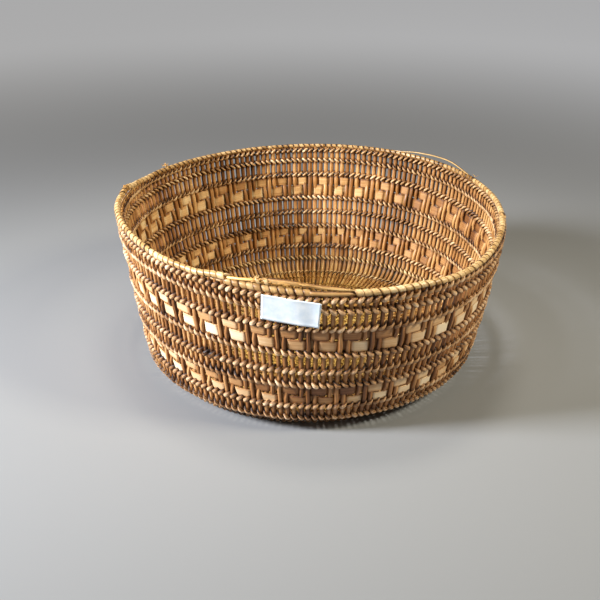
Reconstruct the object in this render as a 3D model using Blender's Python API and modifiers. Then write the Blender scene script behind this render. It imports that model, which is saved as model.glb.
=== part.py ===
"""A low round basket of peeled rods, twined in open rows, with two bands of flat splints.

Every size is in metres. The basket stands on its base rows at z = 0, its axis is Z, and its
front faces -Y. The rods lie radially in the base, turn up at the corner and lean outwards up
to the rim, where two rim rods are bound over their ends.
"""
import math

import bmesh
import bpy
from mathutils import Vector

# The wall, measured on the centre line of the rods
RIM_RADIUS = 0.1874
WALL_FLARE = 0.0271
WALL_CURVE = 1.28
CORNER_RADIUS = 0.0264

# How far out of round it is: the rim leans to one side, is oval and egg-shaped, and the foot is oval
LEAN_BULGE = 0.0049
LEAN_TURN = math.radians(-69.3)
OVAL_BULGE = 0.0036
OVAL_TURN = math.radians(104.7)
EGG_BULGE = 0.0039
EGG_TURN = math.radians(-171.4)
FOOT_BULGE = 0.0038
FOOT_TURN = math.radians(-72.5)

# Where the rods stand: the first one's turn, and how much wider they are spaced in front
FIRST_ROD_TURN = math.radians(-0.64)
SPREAD = 0.0591
SPREAD_TURN = math.radians(114.8)
SECOND_SPREAD = 0.0164
SECOND_SPREAD_TURN = math.radians(-47.1)

# Rods and strands
FAN_COUNT = 22
ROD_PITCH = 0.0067
ROD_DIAMETER = 0.0036
STRAND_DIAMETER = 0.002
SPLINT_WIDTH = 0.0095
SPLINT_THICKNESS = 0.0008
SPLINT_GAP = 0.0018
CLEARANCE = 0.0004

# Heights on the wall, each one a step from the piece below it
CORNER_ROW_STEP = 0.0098
ROW_H_HEIGHT = 0.0188
ROW_G_STEP = 0.0141
LOWER_BAND_GAP = 0.0012
ROW_E_STEP = 0.0157
ROW_D_STEP = 0.0172
UPPER_BAND_GAP = 0.0014
ROW_C_GAP = 0.0033
ROW_B_STEP = 0.0157
ROW_A_STEP = 0.0113
RIM_STEP = 0.0024

# The base, from its edge inwards
BASE_EDGE_STEP = 0.001
BASE_ROW_STEP = 0.0172
BASE_ROWS = ("j", "k", "l", "m")
START_STEP = 0.0088

# The rim
RIM_ROD_DIAMETER = 0.002
WRAP_THICKNESS = 0.0004
BARE_FROM = math.radians(-112.0)
BARE_TO = math.radians(-79.0)

# The paper label, in front of the top two rows
LABEL_WIDTH = 0.050
LABEL_HEIGHT = 0.023
LABEL_THICKNESS = 0.0004
LABEL_RISE = 0.0011
LABEL_ANGLE = math.radians(-95.2)
LABEL_TILT = math.radians(-9.5)

# How finely the solids are drawn
HOOP_POINTS = 32
CORNER_STEPS = 2
WALL_STEPS = 4

# Levels worked out from the sizes above
ROD_RADIUS = ROD_DIAMETER / 2
STRAND_RADIUS = STRAND_DIAMETER / 2
STRAND_OFFSET = ROD_RADIUS + CLEARANCE + STRAND_RADIUS
BASE_LINE = STRAND_RADIUS + STRAND_OFFSET
BAND_HEIGHT = 2 * SPLINT_WIDTH + SPLINT_GAP

ROW_G_HEIGHT = ROW_H_HEIGHT + ROW_G_STEP
LOWER_BAND_FOOT = ROW_G_HEIGHT + STRAND_RADIUS + LOWER_BAND_GAP
ROW_F_HEIGHT = LOWER_BAND_FOOT + BAND_HEIGHT + LOWER_BAND_GAP + STRAND_RADIUS
ROW_E_HEIGHT = ROW_F_HEIGHT + ROW_E_STEP
ROW_D_HEIGHT = ROW_E_HEIGHT + ROW_D_STEP
UPPER_BAND_FOOT = ROW_D_HEIGHT + STRAND_RADIUS + UPPER_BAND_GAP
ROW_C_HEIGHT = UPPER_BAND_FOOT + BAND_HEIGHT + ROW_C_GAP + STRAND_RADIUS
ROW_B_HEIGHT = ROW_C_HEIGHT + ROW_B_STEP
ROW_A_HEIGHT = ROW_B_HEIGHT + ROW_A_STEP
BINDING_FOOT = ROW_A_HEIGHT + RIM_STEP
WRAP_OFFSET = RIM_ROD_DIAMETER / 2 + CLEARANCE + WRAP_THICKNESS
LOWER_ROD_HEIGHT = BINDING_FOOT + WRAP_OFFSET
UPPER_ROD_HEIGHT = LOWER_ROD_HEIGHT + WRAP_OFFSET + CLEARANCE + RIM_ROD_DIAMETER / 2
RIM_HEIGHT = (LOWER_ROD_HEIGHT + UPPER_ROD_HEIGHT) / 2
ROD_TOP = BINDING_FOOT - CLEARANCE

WALL_ROWS = {
    "h": ROW_H_HEIGHT,
    "g": ROW_G_HEIGHT,
    "f": ROW_F_HEIGHT,
    "e": ROW_E_HEIGHT,
    "d": ROW_D_HEIGHT,
    "c": ROW_C_HEIGHT,
    "b": ROW_B_HEIGHT,
    "a": ROW_A_HEIGHT,
}


def clear_scene():
    """Starts from an empty scene."""
    for obj in list(bpy.data.objects):
        bpy.data.objects.remove(obj, do_unlink=True)


def new_collection(name):
    collection = bpy.data.collections.new(name)
    bpy.context.scene.collection.children.link(collection)
    return collection


def new_material(name, colour, roughness):
    """A plain plant-fibre or paper finish."""
    material = bpy.data.materials.new(name)
    material.use_nodes = True
    shader = material.node_tree.nodes["Principled BSDF"]
    shader.inputs["Base Color"].default_value = (*colour, 1.0)
    shader.inputs["Roughness"].default_value = roughness
    shader.inputs["Metallic"].default_value = 0.0
    return material


def wall_radius(height):
    """Radius of the rods' centre line at a height: the wall leans out and straightens up."""
    below_rim = max(0.0, 1.0 - height / RIM_HEIGHT)
    return RIM_RADIUS - WALL_FLARE * below_rim ** WALL_CURVE


def place(angle, radius, height):
    """A point of the basket, which is a little out of round, in one way at the foot and in
    another at the rim."""
    foot_share = max(0.0, 1.0 - height / RIM_HEIGHT) ** 2
    rim = LEAN_BULGE * math.cos(angle + LEAN_TURN)
    rim += OVAL_BULGE * math.cos(2 * angle + OVAL_TURN)
    rim += EGG_BULGE * math.cos(3 * angle + EGG_TURN)
    foot = FOOT_BULGE * math.cos(2 * angle + FOOT_TURN)
    radius *= 1.0 + (rim + (foot - rim) * foot_share) / RIM_RADIUS
    return Vector((radius * math.cos(angle), radius * math.sin(angle), height))


def rod_line():
    """The centre line of a rod as radius and height: flat base, round corner, curved wall."""
    lean = math.atan(WALL_FLARE * WALL_CURVE / RIM_HEIGHT)
    sweep = math.pi / 2 - lean
    flat = wall_radius(BASE_LINE) - CORNER_RADIUS * math.tan(sweep / 2)
    line = []
    for step in range(CORNER_STEPS + 1):
        turn = sweep * step / CORNER_STEPS
        out = flat + CORNER_RADIUS * math.sin(turn)
        up = BASE_LINE + CORNER_RADIUS * (1 - math.cos(turn))
        line.append((out, up))
    foot = line[-1][1]
    for step in range(1, WALL_STEPS + 1):
        height = foot + (ROD_TOP - foot) * step / WALL_STEPS
        line.append((wall_radius(height), height))
    return line


ROD_LINE = rod_line()
FLAT_RADIUS = ROD_LINE[0][0]
BASE_ROW_RADII = [FLAT_RADIUS - BASE_EDGE_STEP - BASE_ROW_STEP * i for i in range(len(BASE_ROWS))]
START_RADIUS = BASE_ROW_RADII[-1] - START_STEP
RODS_PER_FAN = round(2 * math.pi * RIM_RADIUS / (ROD_PITCH * FAN_COUNT))
ROD_COUNT = RODS_PER_FAN * FAN_COUNT
CLOSEST_SPACING = 1 - SPREAD - 2 * SECOND_SPREAD
TOUCH_RADIUS = ROD_COUNT * (ROD_DIAMETER + CLEARANCE) / (2 * math.pi * CLOSEST_SPACING)
HOOP_FIT = 1 / math.cos(math.pi / HOOP_POINTS)


def rod_angle(number):
    """Where a rod stands around the basket. Numbers between two whole ones lie between rods."""
    turn = 2 * math.pi * number / ROD_COUNT + FIRST_ROD_TURN
    shift = SPREAD * math.sin(turn + SPREAD_TURN)
    shift += SECOND_SPREAD * math.sin(2 * turn + SECOND_SPREAD_TURN)
    return turn + shift


def on_rod(axis, value):
    """Where the rod line's radius (axis 0) or height (axis 1) is value, and its outward normal."""
    for start, end in zip(ROD_LINE, ROD_LINE[1:]):
        run = (end[0] - start[0], end[1] - start[1])
        if value <= end[axis] or end is ROD_LINE[-1]:
            share = (value - start[axis]) / run[axis]
            length = math.hypot(*run)
            point = (start[0] + share * run[0], start[1] + share * run[1])
            return point, (run[1] / length, -run[0] / length)
    return None


def new_curve(name, lines, cyclic):
    """A curve of straight runs through each list of points."""
    curve = bpy.data.curves.new(name, "CURVE")
    curve.dimensions = "3D"
    curve.twist_mode = "Z_UP"
    for points in lines:
        spline = curve.splines.new("POLY")
        spline.points.add(len(points) - 1)
        for knot, point in zip(spline.points, points):
            knot.co = (*point, 1.0)
        spline.use_cyclic_u = cyclic
    return curve


def as_mesh(obj, name):
    """The evaluated shape of a curve object as a welded mesh. The curve is removed."""
    bpy.context.view_layer.update()
    depsgraph = bpy.context.evaluated_depsgraph_get()
    mesh = bpy.data.meshes.new_from_object(obj.evaluated_get(depsgraph))
    bm = bmesh.new()
    bm.from_mesh(mesh)
    bmesh.ops.remove_doubles(bm, verts=bm.verts, dist=0.000001)
    bmesh.ops.recalc_face_normals(bm, faces=bm.faces)
    bm.to_mesh(mesh)
    bm.free()
    result = bpy.data.objects.new(name, mesh)
    result.matrix_world = obj.matrix_world
    bpy.data.objects.remove(obj, do_unlink=True)
    return result


def hoop_angles(start=0.0, end=2 * math.pi):
    """The stations that every hoop shares, from one angle to another."""
    step = 2 * math.pi / HOOP_POINTS
    first = round(start / step)
    last = round(end / step)
    return [step * i for i in range(first, last + 1)]


def add_hoop(name, radius, height, diameter, material):
    """A closed ring of round strand or rod around the basket."""
    points = [place(angle, radius, height) for angle in hoop_angles()[:-1]]
    curve = new_curve(name, [points], cyclic=True)
    curve.bevel_depth = diameter / 2
    curve.bevel_resolution = 0
    curve.materials.append(material)
    obj = bpy.data.objects.new(name, curve)
    BASKET.objects.link(obj)
    return obj


def add_pair(name, axis, value, material):
    """One row of twining: a strand inside the rods and a strand outside them."""
    (radius, height), (out, up) = on_rod(axis, value)
    for side, sign, fit in (("outer", 1, HOOP_FIT), ("inner", -1, 1.0)):
        ring = (radius + sign * STRAND_OFFSET * out) * fit
        level = height + sign * STRAND_OFFSET * up
        add_hoop(f"{name}_{side}", ring, level, STRAND_DIAMETER, material)


def add_section(name, outline):
    """A guide: the closed cross-section that a swept band or binding has."""
    curve = bpy.data.curves.new(name, "CURVE")
    spline = curve.splines.new("POLY")
    spline.points.add(len(outline) - 1)
    for knot, (across, up) in zip(spline.points, outline):
        knot.co = (across, up, 0.0, 1.0)
    spline.use_cyclic_u = True
    guide = bpy.data.objects.new(name, curve)
    guide.hide_render = True
    guide.display_type = "WIRE"
    GUIDES.objects.link(guide)
    return guide


def add_fan(number, material):
    """One fan of rods: side by side and flat near the start, then each one up the wall."""
    name = f"warps_{number + 1:02d}"
    first = RODS_PER_FAN * number
    low = rod_angle(first - 0.5)
    high = rod_angle(first + RODS_PER_FAN - 0.5)
    middle = (low + high) / 2
    inner = (START_RADIUS + CLEARANCE) / math.cos((high - low) / 2)
    low += CLEARANCE / (2 * inner)
    high -= CLEARANCE / (2 * inner)
    outline = [(inner, low), (TOUCH_RADIUS, low), (TOUCH_RADIUS, middle), (TOUCH_RADIUS, high), (inner, high)]

    plate = bpy.data.curves.new(name + "_plate", "CURVE")
    plate.dimensions = "2D"
    plate.fill_mode = "BOTH"
    plate.extrude = ROD_RADIUS + CLEARANCE / 4
    spline = plate.splines.new("POLY")
    spline.points.add(len(outline) - 1)
    for knot, (radius, angle) in zip(spline.points, outline):
        knot.co = (radius * math.cos(angle), radius * math.sin(angle), 0.0, 1.0)
    spline.use_cyclic_u = True
    flat = bpy.data.objects.new(name + "_plate", plate)
    flat.location.z = BASE_LINE
    BASKET.objects.link(flat)
    fan = as_mesh(flat, name)
    fan.data.materials.append(material)
    BASKET.objects.link(fan)

    lines = []
    for i in range(first, first + RODS_PER_FAN):
        angle = rod_angle(i)
        inside = TOUCH_RADIUS - ROD_RADIUS
        start = Vector((inside * math.cos(angle), inside * math.sin(angle), BASE_LINE))
        lines.append([start] + [place(angle, out, up) for out, up in ROD_LINE])
    curve = new_curve(name + "_rods", lines, cyclic=False)
    curve.bevel_depth = ROD_RADIUS
    curve.bevel_resolution = 0
    curve.use_fill_caps = True
    tubes = bpy.data.objects.new(name + "_tubes", curve)
    GUIDES.objects.link(tubes)
    rods = as_mesh(tubes, name + "_rods")
    rods.hide_render = True
    rods.display_type = "WIRE"
    GUIDES.objects.link(rods)
    union = fan.modifiers.new("rods", "BOOLEAN")
    union.operation = "UNION"
    union.object = rods


def add_base_start(material):
    """The close-twined middle of the base, flat underneath, where the base rods cross."""
    bm = bmesh.new()
    height = BASE_LINE + ROD_RADIUS
    bmesh.ops.create_cone(
        bm, cap_ends=True, segments=HOOP_POINTS, radius1=START_RADIUS, radius2=START_RADIUS, depth=height
    )
    bmesh.ops.translate(bm, verts=bm.verts, vec=(0.0, 0.0, height / 2))
    mesh = bpy.data.meshes.new("base_start")
    bm.to_mesh(mesh)
    bm.free()
    mesh.materials.append(material)
    obj = bpy.data.objects.new("base_start", mesh)
    BASKET.objects.link(obj)


def add_base_rows(material):
    """Rows of twining across the flat base: a strand under the rods and a strand over them."""
    for letter, radius in zip(BASE_ROWS, BASE_ROW_RADII):
        for side, sign in (("lower", -1), ("upper", 1)):
            level = BASE_LINE + sign * STRAND_OFFSET
            add_hoop(f"base_row_{letter}_{side}", radius, level, STRAND_DIAMETER, material)


def add_splint(name, foot, material):
    """A flat splint: a closed band whose foot and top edge both keep to the leaning wall."""
    corners = []
    for level, side in ((0.0, 0.0), (0.0, 1.0), (SPLINT_WIDTH, 1.0), (SPLINT_WIDTH, 0.0)):
        (radius, height), (out, up) = on_rod(1, foot + level)
        offset = ROD_RADIUS + CLEARANCE + SPLINT_THICKNESS * side
        corners.append(((radius + offset * out) * HOOP_FIT, height + offset * up))
    bm = bmesh.new()
    stations = []
    for angle in hoop_angles()[:-1]:
        stations.append([bm.verts.new(place(angle, *corner)) for corner in corners])
    for station, beyond in zip(stations, stations[1:] + stations[:1]):
        for i in range(4):
            j = (i + 1) % 4
            bm.faces.new((station[i], beyond[i], beyond[j], station[j]))
    mesh = bpy.data.meshes.new(name)
    bm.to_mesh(mesh)
    bm.free()
    mesh.materials.append(material)
    BASKET.objects.link(bpy.data.objects.new(name, mesh))


def add_band(name, foot, material):
    """A twill band: two flat splints, one above the other."""
    add_splint(f"{name}_lower_splint", foot, material)
    add_splint(f"{name}_upper_splint", foot + SPLINT_WIDTH + SPLINT_GAP, material)


def add_binding(name, angles, outline, height, end_gap, material):
    """A stretch of rim binding: a thin skin wound around what it holds."""
    points = [place(angle, RIM_RADIUS, height) for angle in angles]
    points[0] += (points[1] - points[0]).normalized() * end_gap
    points[-1] += (points[-2] - points[-1]).normalized() * end_gap
    curve = new_curve(name, [points], cyclic=False)
    curve.bevel_mode = "OBJECT"
    curve.bevel_object = add_section(name + "_section", outline)
    tube = bpy.data.objects.new(name + "_tube", curve)
    GUIDES.objects.link(tube)
    skin = as_mesh(tube, name)
    skin.data.materials.append(material)
    BASKET.objects.link(skin)
    solidify = skin.modifiers.new("skin", "SOLIDIFY")
    solidify.thickness = WRAP_THICKNESS
    solidify.offset = -1.0
    solidify.use_even_offset = True


def slot_outline(spread):
    """A slot's outline around two centres that are spread apart, four points to each end."""
    corner = math.pi / 8
    radius = WRAP_OFFSET / math.cos(corner)
    outline = []
    for i in range(8):
        angle = corner + i * 2 * corner
        lift = spread / 2 if math.sin(angle) > 0 else -spread / 2
        outline.append((radius * math.cos(angle), radius * math.sin(angle) + lift))
    return outline


def add_rim(rod_material, wrap_material):
    """Two rim rods and their binding, which leaves a stretch of the upper rod bare in front."""
    add_hoop("rim_lower_rod", RIM_RADIUS, LOWER_ROD_HEIGHT, RIM_ROD_DIAMETER, rod_material)
    add_hoop("rim_upper_rod", RIM_RADIUS, UPPER_ROD_HEIGHT, RIM_ROD_DIAMETER, rod_material)
    bound = hoop_angles(BARE_TO, BARE_FROM + 2 * math.pi)
    bare = hoop_angles(BARE_FROM, BARE_TO)
    spread = UPPER_ROD_HEIGHT - LOWER_ROD_HEIGHT
    gap = CLEARANCE + WRAP_OFFSET * math.tan(2 * math.pi / HOOP_POINTS)
    add_binding("rim_binding", bound, slot_outline(spread), RIM_HEIGHT, 0.0, wrap_material)
    add_binding("rim_binding_short", bare, slot_outline(0.0), LOWER_ROD_HEIGHT, gap, wrap_material)


def add_label(material):
    """A small blank paper label, flat against the strands of the top two rows."""
    height = ROW_B_HEIGHT + LABEL_RISE
    out = place(LABEL_ANGLE, RIM_RADIUS, RIM_HEIGHT)
    stand_off = STRAND_OFFSET + STRAND_RADIUS + RIM_RADIUS * (HOOP_FIT - 1) + CLEARANCE
    face = out.to_2d().length + stand_off + LABEL_THICKNESS / 2
    mesh = bpy.data.meshes.new("paper_label")
    bm = bmesh.new()
    bmesh.ops.create_cube(bm, size=1.0)
    bmesh.ops.scale(bm, verts=bm.verts, vec=(LABEL_WIDTH, LABEL_THICKNESS, LABEL_HEIGHT))
    bm.to_mesh(mesh)
    bm.free()
    mesh.materials.append(material)
    obj = bpy.data.objects.new("paper_label", mesh)
    obj.location = (face * math.cos(LABEL_ANGLE), face * math.sin(LABEL_ANGLE), height)
    obj.rotation_euler = (0.0, -LABEL_TILT, LABEL_ANGLE + math.pi / 2)
    BASKET.objects.link(obj)


clear_scene()
BASKET = new_collection("woven_basket")
GUIDES = new_collection("guides")

rod_brown = new_material("rod_brown", (0.38, 0.18, 0.075), 0.55)
strand_tan = new_material("strand_tan", (0.45, 0.25, 0.11), 0.6)
splint_pale = new_material("splint_pale", (0.55, 0.36, 0.18), 0.6)
binding_straw = new_material("binding_straw", (0.64, 0.43, 0.16), 0.5)
base_gold = new_material("base_gold", (0.55, 0.31, 0.1), 0.6)
label_white = new_material("label_white", (0.8, 0.84, 0.88), 0.8)

add_base_start(base_gold)
add_base_rows(base_gold)
for fan_number in range(FAN_COUNT):
    add_fan(fan_number, rod_brown)
add_pair("corner_row", 0, FLAT_RADIUS + CORNER_ROW_STEP, base_gold)
for row_letter, row_height in WALL_ROWS.items():
    add_pair("row_" + row_letter, 1, row_height, strand_tan)
add_band("lower_band", LOWER_BAND_FOOT, splint_pale)
add_band("upper_band", UPPER_BAND_FOOT, splint_pale)
add_rim(rod_brown, binding_straw)
add_label(label_white)
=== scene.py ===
import math
import random

import bmesh
import bpy
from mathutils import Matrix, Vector


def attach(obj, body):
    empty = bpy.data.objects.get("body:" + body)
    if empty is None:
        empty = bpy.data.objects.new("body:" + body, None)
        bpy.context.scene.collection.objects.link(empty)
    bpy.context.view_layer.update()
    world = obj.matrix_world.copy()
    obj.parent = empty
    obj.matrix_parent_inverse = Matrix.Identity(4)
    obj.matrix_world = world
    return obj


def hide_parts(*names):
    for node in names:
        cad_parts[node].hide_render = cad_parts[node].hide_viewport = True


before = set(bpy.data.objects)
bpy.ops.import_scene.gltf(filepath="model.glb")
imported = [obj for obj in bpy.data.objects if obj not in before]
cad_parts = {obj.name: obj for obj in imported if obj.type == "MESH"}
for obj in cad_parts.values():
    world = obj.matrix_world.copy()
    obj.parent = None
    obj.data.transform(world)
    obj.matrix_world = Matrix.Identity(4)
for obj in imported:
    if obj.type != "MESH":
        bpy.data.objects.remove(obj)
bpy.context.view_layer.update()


# The rods
# 176 peeled shoots, a little crooked, about 4 mm thick and up to 1 mm stouter at the back. Each
# one lies across the base, turns up at the corner and ends inside the rim, and only the twining
# holds it. They are kept in fans of eight, and every other one starts further out in the base.
ROD_COUNT = 176
RODS_PER_FAN = 8
ROD_PITCH = math.tau / ROD_COUNT
FIRST_ROD_TURN = math.radians(-0.64)
SPREAD = 0.0591
SPREAD_TURN = math.radians(114.8)
SECOND_SPREAD = 0.0164
SECOND_SPREAD_TURN = math.radians(-47.1)
ROD_FOOT_THICKNESS = 0.0042
ROD_HEAD_THICKNESS = 0.0039
BACK_ROD_EXTRA = 0.001
ROD_TIP_THICKNESS = 0.0014
ROD_TIP_TAPER = 0.3
ROD_TIP_STAGGER = 0.0011
ROD_ROOM_SHARE = 0.9
ROD_SWAY = 0.0005
ROD_CROOK = 0.001
ROD_LEAN = 170.0
ROD_UNEVENNESS = 0.2
RIM_RADIUS = 0.1874
RIM_HEIGHT = 0.1513
ROD_TOP = 0.1508
WALL_FLARE = 0.0271
WALL_CURVE = 1.28
CORNER_RADIUS = 0.0264
BASE_LINE = 0.0042
FIRST_RODS_FROM = 0.013
SECOND_RODS_FROM = 0.054
THIRD_RODS_FROM = 0.108
BASE_STEP = 0.011
LEAN_BULGE = 0.0049
LEAN_TURN = math.radians(-69.3)
OVAL_BULGE = 0.0036
OVAL_TURN = math.radians(104.7)
EGG_BULGE = 0.0039
EGG_TURN = math.radians(-171.4)
FOOT_BULGE = 0.0038
FOOT_TURN = math.radians(-72.5)
DENTS = [{"rod": 98.0, "reach": 24.0, "depth": 0.0025}, {"rod": 165.0, "reach": 17.0, "depth": 0.0024}]
WALL_ROWS = {
    "h": {"level": 0.0186, "slant": -1, "tilt": 0.0012, "lean": 0.0},
    "g": {"level": 0.0329, "slant": 1, "tilt": 0.0015, "lean": 0.0},
    "f": {"level": 0.0567, "slant": -1, "tilt": 0.0009, "lean": 0.001},
    "e": {"level": 0.0727, "slant": 1, "tilt": 0.0015, "lean": 0.0018},
    "d": {"level": 0.0901, "slant": -1, "tilt": 0.0, "lean": 0.0},
    "c": {"level": 0.1176, "slant": 1, "tilt": 0.0003, "lean": 0.0006},
    "b": {"level": 0.1344, "slant": -1, "tilt": -0.0007, "lean": 0.0},
    "a": {"level": 0.1459, "slant": 1, "tilt": 0.0, "lean": 0.0},
}
SPLINTS = {
    "lower_band_lower": {"level": 0.0393, "tilt": 0.0022, "phase": -1.5, "width": 0.009, "tone": 0.84},
    "lower_band_upper": {"level": 0.0497, "tilt": 0.0016, "phase": -0.5, "width": 0.0094, "tone": 0.6},
    "upper_band_lower": {"level": 0.0987, "tilt": 0.0, "phase": -1.5, "width": 0.0112, "tone": 0.9},
    "upper_band_upper": {"level": 0.1096, "tilt": 0.0, "phase": -0.5, "width": 0.0096, "tone": 0.6},
}
ROD_PUSH = 0.0013
ROD_PINCH = 0.06
PUSH_REACH = 0.0085
# Hills of tone by rod number, reach in rods and height: lighter around rods 95 and 14, and darker around rod
# 46 at the back. The darker part is painted shade that holds down the lamps' highlights on the back wall.
ROD_TONES_AND_BACK_SHADE = [(95.0, 34.0, 0.1), (14.0, 26.0, 0.06), (46.0, 30.0, -0.13)]
STAIN_SPOT = (-0.0951, -0.1515, 0.0742)
STAIN_REACH = 0.006
# Reach of the painted shadow beside each wall row.
ROW_SHADE_REACH = 0.0046
# Share of a fibre's width that is free of the painted shade at its sides.
FIBRE_FACE = 0.45
STREAKS_PER_METRE = 38.0
GRAINS_PER_METRE = 220.0
SHELTERED_BASE_RADIUS = 0.15
SHELTERED_BASE_FADE = 0.02
SHELTERED_WALL_HEIGHT = 0.036
SHELTERED_WALL_FADE = 0.018
SHELTERED_TINT = (0.88, 1.0, 0.8, 1.0)
FIBRE_RELIEF = 0.0003


def tint(red, green, blue):
    """A colour picked in screen values from 0 to 255, as the shader wants it."""
    return tuple((value / 255) ** 2.2 for value in (red, green, blue)) + (1.0,)


def add_node(tree, kind, feeds=None, **settings):
    """Adds a node, sets its options, and feeds its inputs from numbers or from other nodes."""
    node = tree.nodes.new(kind)
    for option, value in settings.items():
        setattr(node, option, value)
    for place, value in (feeds or {}).items():
        value = value.socket if isinstance(value, Field) else value
        if isinstance(value, bpy.types.NodeSocket):
            tree.links.new(value, node.inputs[place])
        else:
            node.inputs[place].default_value = value
    return node


class Field:
    """A number in a node tree, so that the rule of a shape can be written as a sum."""

    def __init__(self, tree, socket):
        self.tree = tree
        self.socket = socket

    def rule(self, operation, *others):
        feeds = dict(enumerate((self, *others)))
        node = add_node(self.tree, "ShaderNodeMath", feeds, operation=operation)
        return Field(self.tree, node.outputs[0])

    def __add__(self, other):
        return self.rule("ADD", other)

    def __sub__(self, other):
        return self.rule("SUBTRACT", other)

    def __mul__(self, other):
        return self.rule("MULTIPLY", other)

    def __truediv__(self, other):
        return self.rule("DIVIDE", other)

    def __mod__(self, other):
        return self.rule("FLOORED_MODULO", other)

    def within(self, low, high):
        return self.rule("MAXIMUM", low).rule("MINIMUM", high)

    def hill(self, centre, reach):
        """One at the centre, falling off roundly to nought at reach on either side of it."""
        away = (self - centre) / reach
        return (away * away * -1.0 + 1.0).rule("MAXIMUM", 0.0)


def floats(*labels):
    """Sockets for plain numbers."""
    return dict.fromkeys(labels, "Float")


def new_tree(name, kind, inputs, outputs):
    """A node tree with named inputs and outputs; returns it, its inputs as fields and its end."""
    tree = bpy.data.node_groups.new(name, kind)
    for label, socket in inputs.items():
        tree.interface.new_socket(label, in_out="INPUT", socket_type="NodeSocket" + socket)
    for label, socket in outputs.items():
        tree.interface.new_socket(label, in_out="OUTPUT", socket_type="NodeSocket" + socket)
    start = tree.nodes.new("NodeGroupInput")
    end = tree.nodes.new("NodeGroupOutput")
    return tree, {socket.name: Field(tree, socket) for socket in start.outputs if socket.name}, end


def shape_tree(name, *labels, guide=False):
    """A tree that makes a mesh from numbers and a material, and from a guide where it has one."""
    mesh = {"Geometry": "Geometry"}
    inputs = {**(mesh if guide else {}), **floats(*labels), "Material": "Material"}
    return new_tree(name, "GeometryNodeTree", inputs, mesh)


def as_vector(tree, across, deep, high):
    """Three numbers as one vector."""
    node = add_node(tree, "ShaderNodeCombineXYZ", {0: across, 1: deep, 2: high})
    return Field(tree, node.outputs[0])


def apart(tree, vector):
    """The three numbers of a vector."""
    node = add_node(tree, "ShaderNodeSeparateXYZ", {0: vector})
    return [Field(tree, socket) for socket in node.outputs]


def as_number(tree, value):
    """A plain number as a field."""
    node = tree.nodes.new("ShaderNodeValue")
    node.outputs[0].default_value = value
    return Field(tree, node.outputs[0])


def chance(tree, number, spread, seed):
    """A number picked by lot for each rod or knob, from minus to plus spread."""
    feeds = {2: -spread, 3: spread, "ID": number, "Seed": seed}
    node = add_node(tree, "FunctionNodeRandomValue", feeds, data_type="FLOAT")
    return Field(tree, node.outputs[1])


def ripple(tree, vector, scale, detail=1.0):
    """A smooth wander around nought, within about a half either way."""
    feeds = {"Vector": vector, "Scale": scale, "Detail": detail}
    node = add_node(tree, "ShaderNodeTexNoise", feeds)
    return Field(tree, node.outputs[0]) - 0.5


def bearing(rod):
    """Cosine and sine of a rod's even share of the circle."""
    angle = rod * ROD_PITCH
    return angle.rule("COSINE"), angle.rule("SINE")


def stretches(rod, table):
    """The sum of hills along the rows, each given by its rod number, reach in rods and height."""
    total = as_number(rod.tree, 0.0)
    for centre, reach, height in table:
        total = total + rod.hill(centre, reach) * height
    return total


def basket_point_tree():
    """Puts a rod number, a radius and a height on the basket, which is a little out of round and
    has its rods spaced wider in front."""
    sockets = floats("Rod", "Radius", "Height")
    results = {"Position": "Vector", **floats("Cosine", "Sine", "Spacing")}
    tree, given, end = new_tree("Basket point", "GeometryNodeTree", sockets, results)
    rod = given["Rod"]
    rise = given["Height"] / RIM_HEIGHT
    before = rod.rule("FLOOR")
    sways = []
    for number in (before % ROD_COUNT, (before + 1.0) % ROD_COUNT):
        foot = chance(tree, number, ROD_SWAY, 3)
        head = chance(tree, number, ROD_SWAY, 5)
        sways.append(foot + (head - foot) * rise)
    sway = sways[0] + (sways[1] - sways[0]) * (rod - before)
    turn = rod * ROD_PITCH + FIRST_ROD_TURN
    angle = turn + (turn + SPREAD_TURN).rule("SINE") * SPREAD
    angle = angle + (turn * 2.0 + SECOND_SPREAD_TURN).rule("SINE") * SECOND_SPREAD
    angle = angle + sway / RIM_RADIUS
    spacing = (turn + SPREAD_TURN).rule("COSINE") * SPREAD + 1.0
    spacing = spacing + (turn * 2.0 + SECOND_SPREAD_TURN).rule("COSINE") * (SECOND_SPREAD * 2.0)
    drop = (rise * -1.0 + 1.0).rule("MAXIMUM", 0.0)
    rim = (angle + LEAN_TURN).rule("COSINE") * LEAN_BULGE
    rim = rim + (angle * 2.0 + OVAL_TURN).rule("COSINE") * OVAL_BULGE
    rim = rim + (angle * 3.0 + EGG_TURN).rule("COSINE") * EGG_BULGE
    for dent in DENTS:
        hill = rod.hill(dent["rod"], dent["reach"])
        rim = rim - hill * hill * dent["depth"]
    foot = (angle * 2.0 + FOOT_TURN).rule("COSINE") * FOOT_BULGE
    bulge = rim + (foot - rim) * drop * drop
    radius = given["Radius"] * (bulge / RIM_RADIUS + 1.0)
    cosine = angle.rule("COSINE")
    sine = angle.rule("SINE")
    place = as_vector(tree, radius * cosine, radius * sine, given["Height"])
    for label, value in (("Position", place), ("Cosine", cosine), ("Sine", sine), ("Spacing", spacing)):
        tree.links.new(value.socket, end.inputs[label])
    return tree


BASKET_POINT = basket_point_tree()


def on_basket(tree, rod, radius, height):
    """The place of a rod number, radius and height, the cosine and sine of its angle, and how
    widely the rods are spaced there."""
    feeds = {"Rod": rod, "Radius": radius, "Height": height}
    node = add_node(tree, "GeometryNodeGroup", feeds, node_tree=BASKET_POINT)
    return [Field(tree, node.outputs[label]) for label in ("Position", "Cosine", "Sine", "Spacing")]


def stored(tree, geometry, label, value, kind="FLOAT"):
    """Writes a number or vector on every point, for the material to read."""
    feeds = {"Geometry": geometry, "Name": label, "Value": value}
    node = add_node(tree, "GeometryNodeStoreNamedAttribute", feeds, data_type=kind)
    return node.outputs[0]


def read(tree, label):
    """A number that the guide carries on its points."""
    node = add_node(tree, "GeometryNodeInputNamedAttribute", {"Name": label}, data_type="FLOAT")
    return Field(tree, node.outputs[0])


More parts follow.
